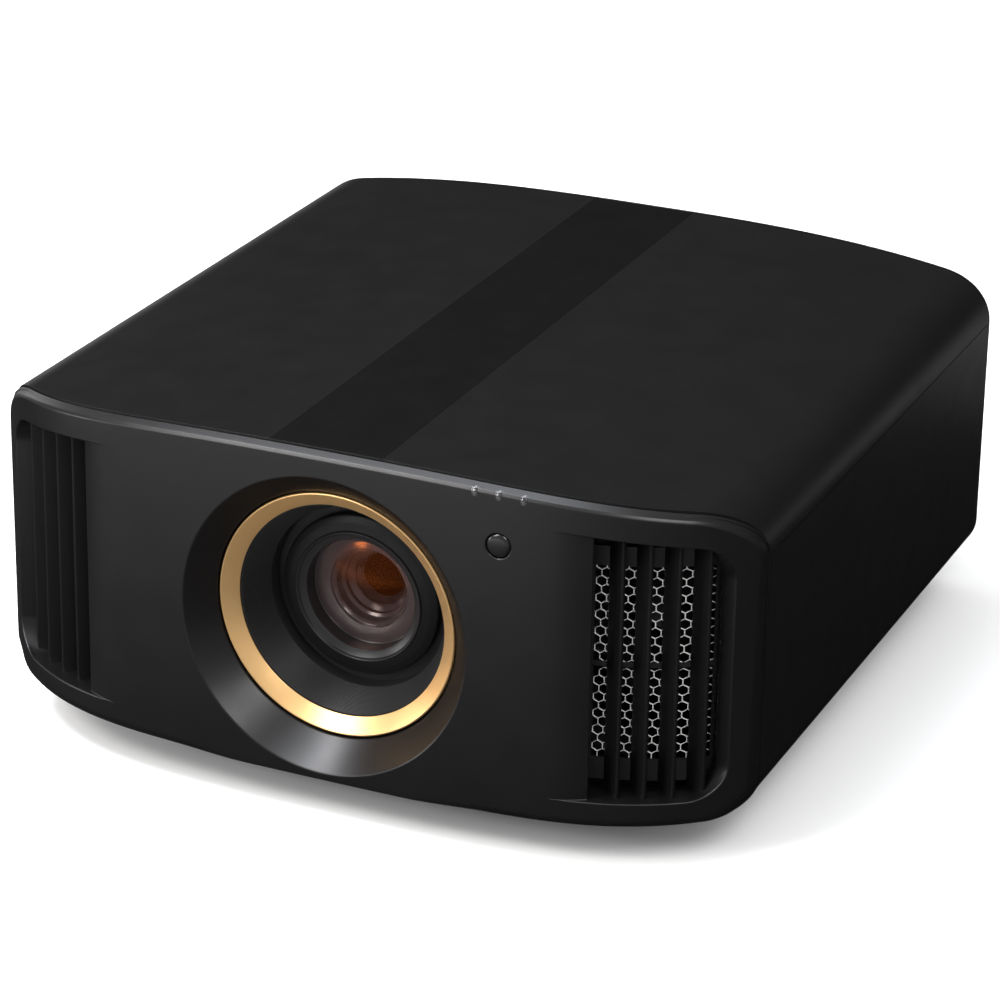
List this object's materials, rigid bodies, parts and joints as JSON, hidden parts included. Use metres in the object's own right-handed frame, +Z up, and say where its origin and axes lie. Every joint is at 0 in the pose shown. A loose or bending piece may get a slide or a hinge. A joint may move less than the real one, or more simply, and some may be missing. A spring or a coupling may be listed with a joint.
{
  "type": "home projector",
  "caption": "Home cinema projector: bowed front panel with a recessed lens in a conical dish, louvred side vents, crowned cover with a centre strip, adjustable feet.",
  "frame": {"origin": "centre of the footprint box, on the surface that the four feet stand on", "axes": "+X to the right seen from the front, -Y out of the lens, +Z up"},
  "size_m": [0.4992, 0.4775, 0.234],
  "materials": {
    "cover": "satin near-black textured paint",
    "strip": "smooth semi-gloss near-black",
    "panel": "satin near-black",
    "trim": "satin champagne gold anodised",
    "shroud": "matt black, fine ribs",
    "barrel": "semi-matt dark grey",
    "optics": "coated lens glass",
    "screen": "bright silver",
    "window": "glossy smoked black",
    "guide": "clear light guide",
    "steel": "plain sheet steel",
    "aluminium": "bare aluminium",
    "board": "green solder mask",
    "rubber": "matt rubber",
    "filter": "open-cell foam",
    "button": "satin dark grey",
    "fan": "black moulded plastic"
  },
  "bodies": {
    "housing": {"top_cover": "cover", "top_strip": "strip", "lower_case": "cover", "front_panel": "panel", "lens_trim_ring": "trim", "louvres_left": "panel", "louvres_right": "panel", "vent_screen_left": "screen", "vent_screen_right": "screen", "sensor_window_front": "window", "light_guide_1": "guide", "light_guide_2": "guide", "light_guide_3": "guide", "rear_panel": "panel", "terminal_plate": "steel", "power_inlet": "fan", "hdmi_socket_1": "steel", "hdmi_socket_2": "steel", "network_socket": "steel", "serial_socket": "steel", "chassis": "steel", "optical_block": "aluminium", "light_source": "aluminium", "heat_sink": "aluminium", "power_supply": "steel", "main_board": "board", "exhaust_fan_left_frame": "fan", "exhaust_fan_right_frame": "fan", "intake_fan_frame": "fan"},
    "lift_carriage": {"shift_frame": "steel"},
    "lens_carriage": {"shift_plate": "steel", "lens_barrel": "barrel", "lens_shroud": "shroud", "front_element": "optics"},
    "focus_drive": {"focus_ring": "aluminium"},
    "zoom_drive": {"zoom_ring": "aluminium"},
    "exhaust_rotor_left": {"exhaust_fan_left_rotor": "fan"},
    "exhaust_rotor_right": {"exhaust_fan_right_rotor": "fan"},
    "intake_rotor": {"intake_fan_rotor": "fan"},
    "intake_left": {"intake_cover_left": "panel", "air_filter_left": "filter"},
    "intake_right": {"intake_cover_right": "panel", "air_filter_right": "filter"},
    "standby_button": {"standby_button": "button"},
    "input_button": {"input_button": "button"},
    "menu_button": {"menu_button": "button"},
    "back_button": {"back_button": "button"},
    "ok_button": {"ok_button": "button"},
    "up_button": {"up_button": "button"},
    "down_button": {"down_button": "button"},
    "left_button": {"left_button": "button"},
    "right_button": {"right_button": "button"},
    "stem_front_left": {"foot_stem_front_left": "steel"},
    "foot_front_left": {"foot_front_left": "rubber"},
    "stem_front_right": {"foot_stem_front_right": "steel"},
    "foot_front_right": {"foot_front_right": "rubber"},
    "stem_rear_left": {"foot_stem_rear_left": "steel"},
    "foot_rear_left": {"foot_rear_left": "rubber"},
    "stem_rear_right": {"foot_stem_rear_right": "steel"},
    "foot_rear_right": {"foot_rear_right": "rubber"}
  },
  "joints": [
    {"name": "lens_shift_vertical", "type": "slide", "parent": "housing", "child": "lift_carriage", "axis": [0, 0, 1], "range_m": [-0.007, 0.007]},
    {"name": "lens_shift_horizontal", "type": "slide", "parent": "lift_carriage", "child": "lens_carriage", "axis": [1, 0, 0], "range_m": [-0.0055, 0.0055]},
    {"name": "focus_turn", "type": "hinge", "parent": "lens_carriage", "child": "focus_drive", "pos_m": [0, -0.1199, 0.1242], "axis": [0, 1, 0], "range_deg": [-60, 60]},
    {"name": "zoom_turn", "type": "hinge", "parent": "lens_carriage", "child": "zoom_drive", "pos_m": [0, -0.0939, 0.1242], "axis": [0, 1, 0], "range_deg": [-45, 45]},
    {"name": "exhaust_fan_left_spin", "type": "hinge", "parent": "housing", "child": "exhaust_rotor_left", "pos_m": [-0.194, -0.1355, 0.122], "axis": [0, 1, 0], "continuous": true},
    {"name": "exhaust_fan_right_spin", "type": "hinge", "parent": "housing", "child": "exhaust_rotor_right", "pos_m": [0.194, -0.1355, 0.122], "axis": [0, 1, 0], "continuous": true},
    {"name": "intake_fan_spin", "type": "hinge", "parent": "housing", "child": "intake_rotor", "pos_m": [0, 0.1325, 0.129], "axis": [0, 1, 0], "continuous": true},
    {"name": "intake_left_pull", "type": "slide", "parent": "housing", "child": "intake_left", "axis": [0, 1, 0], "range_m": [0, 0.025]},
    {"name": "intake_right_pull", "type": "slide", "parent": "housing", "child": "intake_right", "axis": [0, 1, 0], "range_m": [0, 0.025]},
    {"name": "standby_press", "type": "slide", "parent": "housing", "child": "standby_button", "axis": [0, -1, 0], "range_m": [0, 0.001], "stiffness_N_per_m": 400},
    {"name": "input_press", "type": "slide", "parent": "housing", "child": "input_button", "axis": [0, -1, 0], "range_m": [0, 0.001], "stiffness_N_per_m": 400},
    {"name": "menu_press", "type": "slide", "parent": "housing", "child": "menu_button", "axis": [0, -1, 0], "range_m": [0, 0.001], "stiffness_N_per_m": 400},
    {"name": "back_press", "type": "slide", "parent": "housing", "child": "back_button", "axis": [0, -1, 0], "range_m": [0, 0.001], "stiffness_N_per_m": 400},
    {"name": "ok_press", "type": "slide", "parent": "housing", "child": "ok_button", "axis": [0, -1, 0], "range_m": [0, 0.001], "stiffness_N_per_m": 400},
    {"name": "up_press", "type": "slide", "parent": "housing", "child": "up_button", "axis": [0, -1, 0], "range_m": [0, 0.001], "stiffness_N_per_m": 400},
    {"name": "down_press", "type": "slide", "parent": "housing", "child": "down_button", "axis": [0, -1, 0], "range_m": [0, 0.001], "stiffness_N_per_m": 400},
    {"name": "left_press", "type": "slide", "parent": "housing", "child": "left_button", "axis": [0, -1, 0], "range_m": [0, 0.001], "stiffness_N_per_m": 400},
    {"name": "right_press", "type": "slide", "parent": "housing", "child": "right_button", "axis": [0, -1, 0], "range_m": [0, 0.001], "stiffness_N_per_m": 400},
    {"name": "foot_lift_front_left", "type": "slide", "parent": "housing", "child": "stem_front_left", "axis": [0, 0, -1], "range_m": [0, 0.005]},
    {"name": "foot_turn_front_left", "type": "hinge", "parent": "stem_front_left", "child": "foot_front_left", "pos_m": [-0.19, -0.12, 0], "axis": [0, 0, -1], "range_deg": [0, 1200]},
    {"name": "foot_lift_front_right", "type": "slide", "parent": "housing", "child": "stem_front_right", "axis": [0, 0, -1], "range_m": [0, 0.005]},
    {"name": "foot_turn_front_right", "type": "hinge", "parent": "stem_front_right", "child": "foot_front_right", "pos_m": [0.19, -0.12, 0], "axis": [0, 0, -1], "range_deg": [0, 1200]},
    {"name": "foot_lift_rear_left", "type": "slide", "parent": "housing", "child": "stem_rear_left", "axis": [0, 0, -1], "range_m": [0, 0.005]},
    {"name": "foot_turn_rear_left", "type": "hinge", "parent": "stem_rear_left", "child": "foot_rear_left", "pos_m": [-0.19, 0.17, 0], "axis": [0, 0, -1], "range_deg": [0, 1200]},
    {"name": "foot_lift_rear_right", "type": "slide", "parent": "housing", "child": "stem_rear_right", "axis": [0, 0, -1], "range_m": [0, 0.005]},
    {"name": "foot_turn_rear_right", "type": "hinge", "parent": "stem_rear_right", "child": "foot_rear_right", "pos_m": [0.19, 0.17, 0], "axis": [0, 0, -1], "range_deg": [0, 1200]}
  ],
  "couplings": [
    {"joint": "foot_lift_front_left", "follows": "foot_turn_front_left", "m_per_rad": 0.00023849},
    {"joint": "foot_lift_front_right", "follows": "foot_turn_front_right", "m_per_rad": 0.00023849},
    {"joint": "foot_lift_rear_left", "follows": "foot_turn_rear_left", "m_per_rad": 0.00023849},
    {"joint": "foot_lift_rear_right", "follows": "foot_turn_rear_right", "m_per_rad": 0.00023849}
  ]
}
